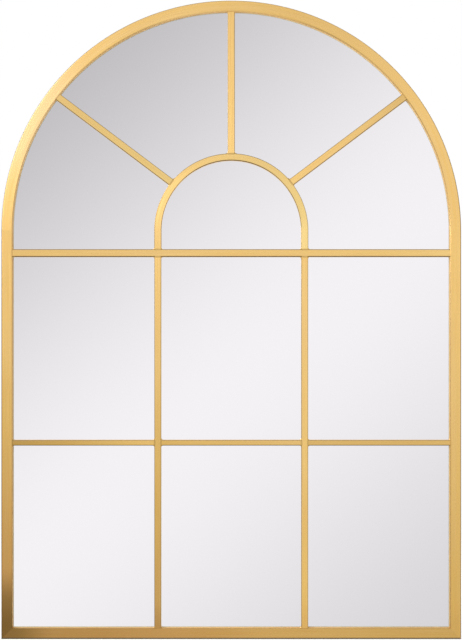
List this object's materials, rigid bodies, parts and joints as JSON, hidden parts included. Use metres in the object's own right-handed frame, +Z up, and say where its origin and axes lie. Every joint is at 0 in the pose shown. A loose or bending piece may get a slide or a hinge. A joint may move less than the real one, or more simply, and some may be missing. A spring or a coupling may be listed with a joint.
{
  "type": "arched wall mirror",
  "caption": "Arched wall mirror in a slim gold tube frame, with a fanlight window grille over one sheet of mirror, turn buttons that hold its back and keyhole hangers.",
  "frame": {"origin": "midway between the centres of the two keyhole entry holes, on the wall plane that the hanger plates and the wall bumpers touch", "axes": "+X to the right as seen from the front, +Y into the wall (the mirror faces -Y), +Z up"},
  "size_m": [0.71, 0.025, 0.9859],
  "materials": {
    "satin_gold": "satin",
    "mirror": "polished",
    "board": "matte",
    "foam": "matte",
    "felt": "matte",
    "rubber": "matte",
    "zinc": "satin"
  },
  "bodies": {
    "frame": {"arch_tube": "satin_gold", "left_stile": "satin_gold", "right_stile": "satin_gold", "bottom_rail": "satin_gold", "inner_arch": "satin_gold", "left_mullion": "satin_gold", "right_mullion": "satin_gold", "upper_crossbar": "satin_gold", "lower_crossbar_left": "satin_gold", "lower_crossbar_centre": "satin_gold", "lower_crossbar_right": "satin_gold", "top_spoke": "satin_gold", "left_spoke": "satin_gold", "right_spoke": "satin_gold", "mirror_glass": "mirror", "glass_pads": "felt", "setting_blocks": "rubber", "foam_sheet": "foam", "backing_board": "board", "turn_button_washers": "zinc", "turn_button_screws": "zinc", "hanger_left": "zinc", "hanger_right": "zinc", "hanger_screws": "zinc", "wall_bumpers": "rubber"},
    "turn_button_arch_1": {"turn_button_arch_1": "zinc"},
    "turn_button_arch_2": {"turn_button_arch_2": "zinc"},
    "turn_button_arch_3": {"turn_button_arch_3": "zinc"},
    "turn_button_arch_4": {"turn_button_arch_4": "zinc"},
    "turn_button_left_low": {"turn_button_left_low": "zinc"},
    "turn_button_left_high": {"turn_button_left_high": "zinc"},
    "turn_button_right_low": {"turn_button_right_low": "zinc"},
    "turn_button_right_high": {"turn_button_right_high": "zinc"},
    "turn_button_bottom_left": {"turn_button_bottom_left": "zinc"},
    "turn_button_bottom_right": {"turn_button_bottom_right": "zinc"}
  },
  "joints": [
    {"name": "turn_button_arch_1_pivot", "type": "hinge", "parent": "frame", "child": "turn_button_arch_1", "pos_m": [0.31654, -0.00375, 0.18293], "axis": [0, 1, 0], "continuous": true},
    {"name": "turn_button_arch_2_pivot", "type": "hinge", "parent": "frame", "child": "turn_button_arch_2", "pos_m": [0.1298, -0.00375, 0.36327], "axis": [0, 1, 0], "continuous": true},
    {"name": "turn_button_arch_3_pivot", "type": "hinge", "parent": "frame", "child": "turn_button_arch_3", "pos_m": [-0.1298, -0.00375, 0.36327], "axis": [0, 1, 0], "continuous": true},
    {"name": "turn_button_arch_4_pivot", "type": "hinge", "parent": "frame", "child": "turn_button_arch_4", "pos_m": [-0.31654, -0.00375, 0.18293], "axis": [0, 1, 0], "continuous": true},
    {"name": "turn_button_left_low_pivot", "type": "hinge", "parent": "frame", "child": "turn_button_left_low", "pos_m": [-0.3465, -0.00375, -0.439], "axis": [0, 1, 0], "continuous": true},
    {"name": "turn_button_left_high_pivot", "type": "hinge", "parent": "frame", "child": "turn_button_left_high", "pos_m": [-0.3465, -0.00375, -0.169], "axis": [0, 1, 0], "continuous": true},
    {"name": "turn_button_right_low_pivot", "type": "hinge", "parent": "frame", "child": "turn_button_right_low", "pos_m": [0.3465, -0.00375, -0.439], "axis": [0, 1, 0], "continuous": true},
    {"name": "turn_button_right_high_pivot", "type": "hinge", "parent": "frame", "child": "turn_button_right_high", "pos_m": [0.3465, -0.00375, -0.169], "axis": [0, 1, 0], "continuous": true},
    {"name": "turn_button_bottom_left_pivot", "type": "hinge", "parent": "frame", "child": "turn_button_bottom_left", "pos_m": [-0.15, -0.00375, -0.5805], "axis": [0, 1, 0], "continuous": true},
    {"name": "turn_button_bottom_right_pivot", "type": "hinge", "parent": "frame", "child": "turn_button_bottom_right", "pos_m": [0.15, -0.00375, -0.5805], "axis": [0, 1, 0], "continuous": true}
  ]
}
